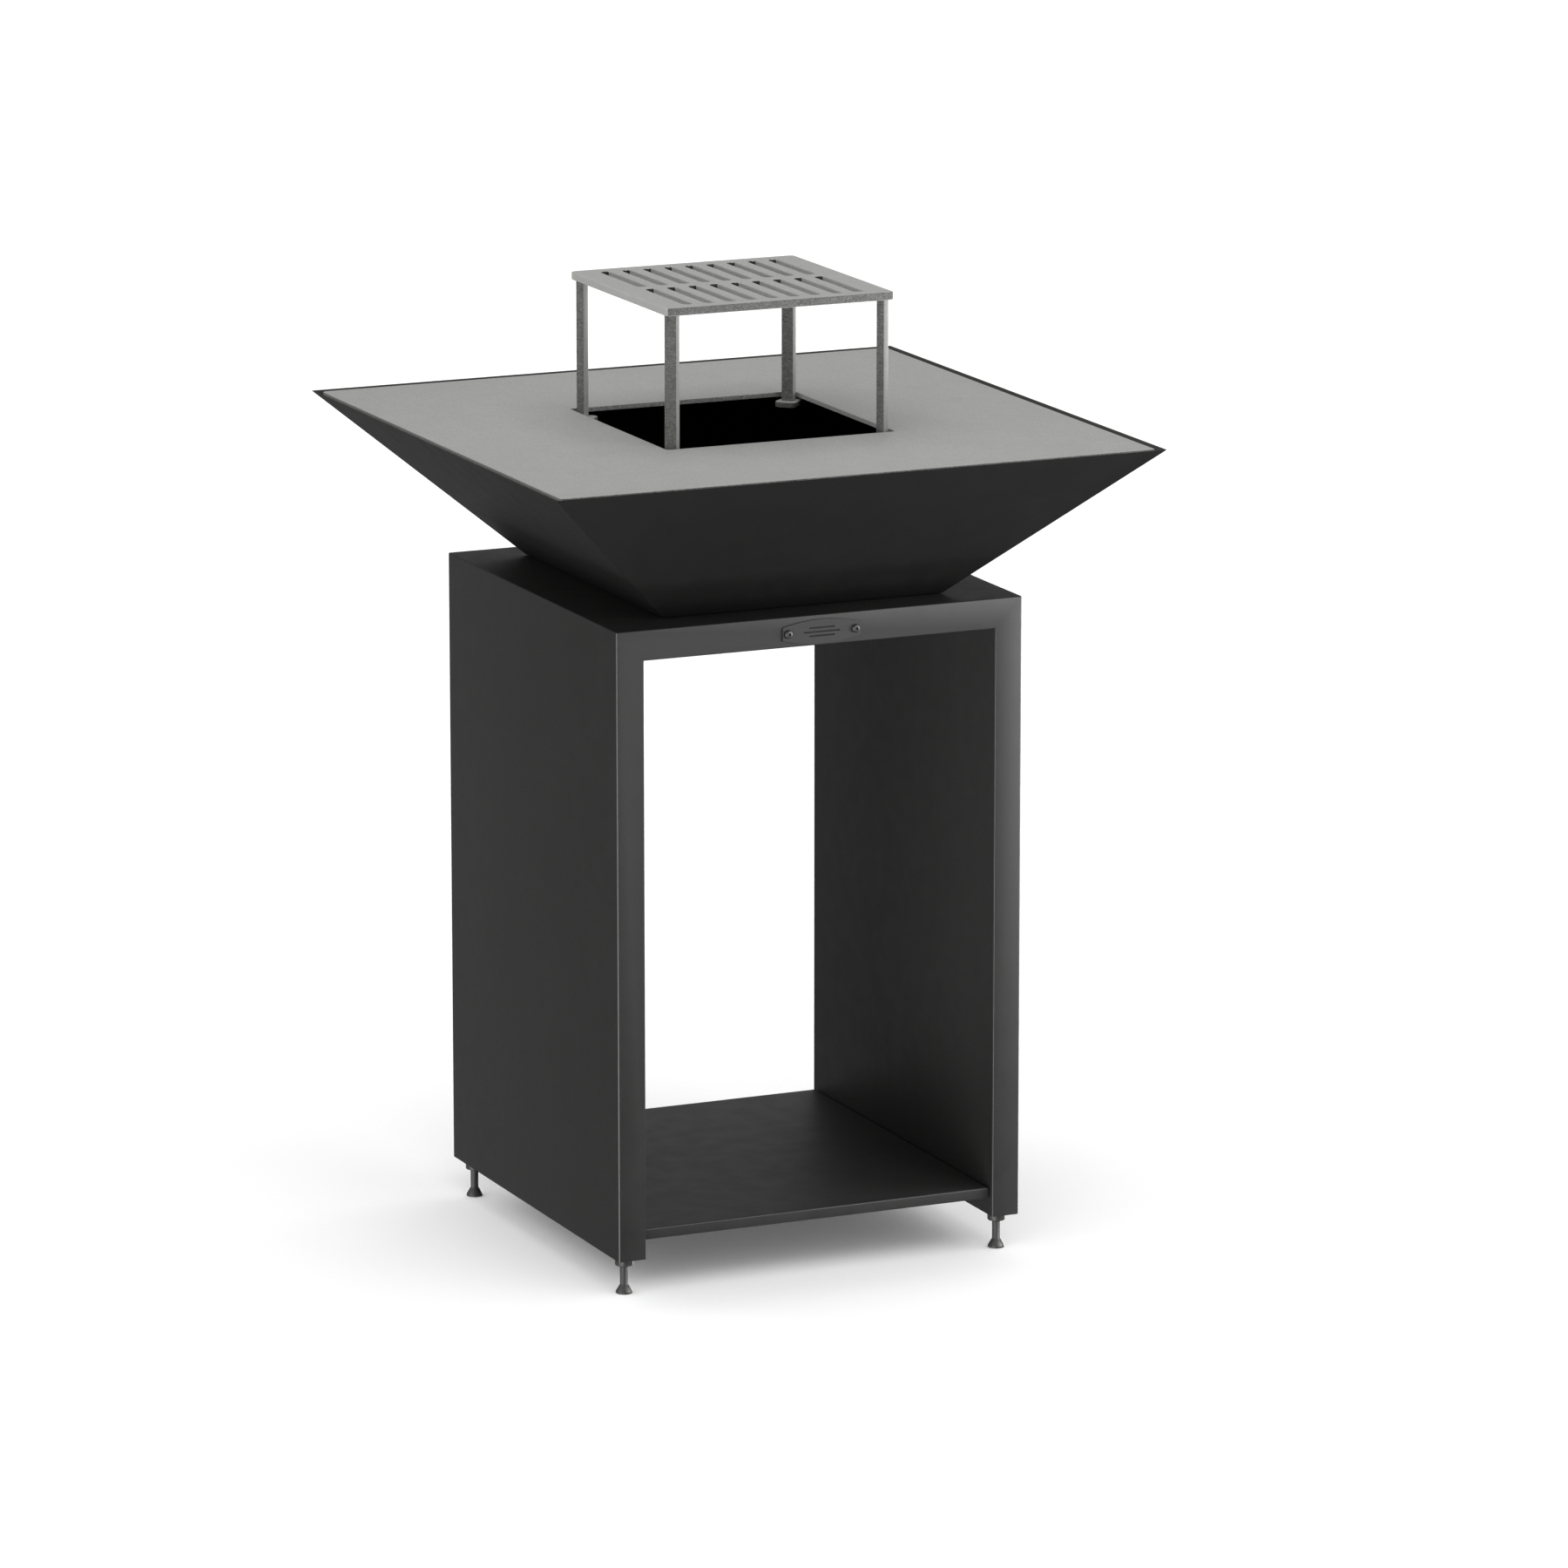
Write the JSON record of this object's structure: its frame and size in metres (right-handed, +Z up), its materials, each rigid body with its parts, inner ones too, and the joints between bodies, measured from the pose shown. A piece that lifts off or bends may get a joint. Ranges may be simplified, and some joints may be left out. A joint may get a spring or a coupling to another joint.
{
  "type": "fire pit with grate",
  "caption": "Square steel fire bowl on an open box-section stand with a shelf, a lift-off griddle plate and a raised slotted grate.",
  "frame": {"origin": "on the ground under the middle of the fire pit", "axes": "+Z up, +X to the right of the front, -Y out of the front, where the badge is"},
  "size_m": [0.8, 0.8, 1.1964],
  "materials": {
    "stand_coat": "matt dark grey powder coat",
    "bowl_coat": "matt near-black heat-proof coat",
    "griddle_steel": "matt fine-grained plate steel with cut edges",
    "grate_steel": "matt plate steel with rough flame-cut edges",
    "blackened_hardware": "satin dark grey levelling feet and collars",
    "zinc_hardware": "zinc plated",
    "stainless_hardware": "bright stainless"
  },
  "bodies": {
    "stand": {"stand_outer_shell": "stand_coat", "stand_inner_liner": "stand_coat", "bottom_cap_left": "stand_coat", "bottom_cap_right": "stand_coat", "shelf_tray": "stand_coat", "shelf_bolt_left_front": "zinc_hardware", "shelf_bolt_left_back": "zinc_hardware", "shelf_bolt_right_front": "zinc_hardware", "shelf_bolt_right_back": "zinc_hardware", "shelf_nut_left_front": "zinc_hardware", "shelf_nut_left_back": "zinc_hardware", "shelf_nut_right_front": "zinc_hardware", "shelf_nut_right_back": "zinc_hardware", "bowl_floor": "bowl_coat", "bowl_wall_front": "bowl_coat", "bowl_wall_back": "bowl_coat", "bowl_wall_left": "bowl_coat", "bowl_wall_right": "bowl_coat", "bowl_bolt_front_left": "zinc_hardware", "bowl_bolt_back_left": "zinc_hardware", "bowl_bolt_front_right": "zinc_hardware", "bowl_bolt_back_right": "zinc_hardware", "bowl_nut_front_left": "zinc_hardware", "bowl_nut_back_left": "zinc_hardware", "bowl_nut_front_right": "zinc_hardware", "bowl_nut_back_right": "zinc_hardware", "badge_plate": "stand_coat", "badge_screw_left": "stainless_hardware", "badge_screw_right": "stainless_hardware", "badge_nut_left": "stainless_hardware", "badge_nut_right": "stainless_hardware", "foot_bush_front_left": "blackened_hardware", "foot_bush_back_left": "blackened_hardware", "foot_bush_front_right": "blackened_hardware", "foot_bush_back_right": "blackened_hardware"},
    "griddle": {"griddle_plate": "griddle_steel", "support_tab_front_left": "griddle_steel", "support_tab_back_left": "griddle_steel", "support_tab_front_right": "griddle_steel", "support_tab_back_right": "griddle_steel"},
    "grate": {"grate_plate": "grate_steel", "grate_leg_front_left": "grate_steel", "grate_leg_back_left": "grate_steel", "grate_leg_front_right": "grate_steel", "grate_leg_back_right": "grate_steel"},
    "foot_front_left": {"levelling_foot_front_left": "blackened_hardware"},
    "foot_back_left": {"levelling_foot_back_left": "blackened_hardware"},
    "foot_front_right": {"levelling_foot_front_right": "blackened_hardware"},
    "foot_back_right": {"levelling_foot_back_right": "blackened_hardware"}
  },
  "joints": [
    {"name": "griddle_lift", "type": "slide", "parent": "stand", "child": "griddle", "axis": [0, 0, 1], "range_m": [0, 0.3]},
    {"name": "grate_lift", "type": "slide", "parent": "griddle", "child": "grate", "axis": [0, 0, 1], "range_m": [0, 0.3]},
    {"name": "foot_front_left_level", "type": "slide", "parent": "stand", "child": "foot_front_left", "axis": [0, 0, 1], "range_m": [-0.015, 0.018]},
    {"name": "foot_back_left_level", "type": "slide", "parent": "stand", "child": "foot_back_left", "axis": [0, 0, 1], "range_m": [-0.015, 0.018]},
    {"name": "foot_front_right_level", "type": "slide", "parent": "stand", "child": "foot_front_right", "axis": [0, 0, 1], "range_m": [-0.015, 0.018]},
    {"name": "foot_back_right_level", "type": "slide", "parent": "stand", "child": "foot_back_right", "axis": [0, 0, 1], "range_m": [-0.015, 0.018]}
  ]
}
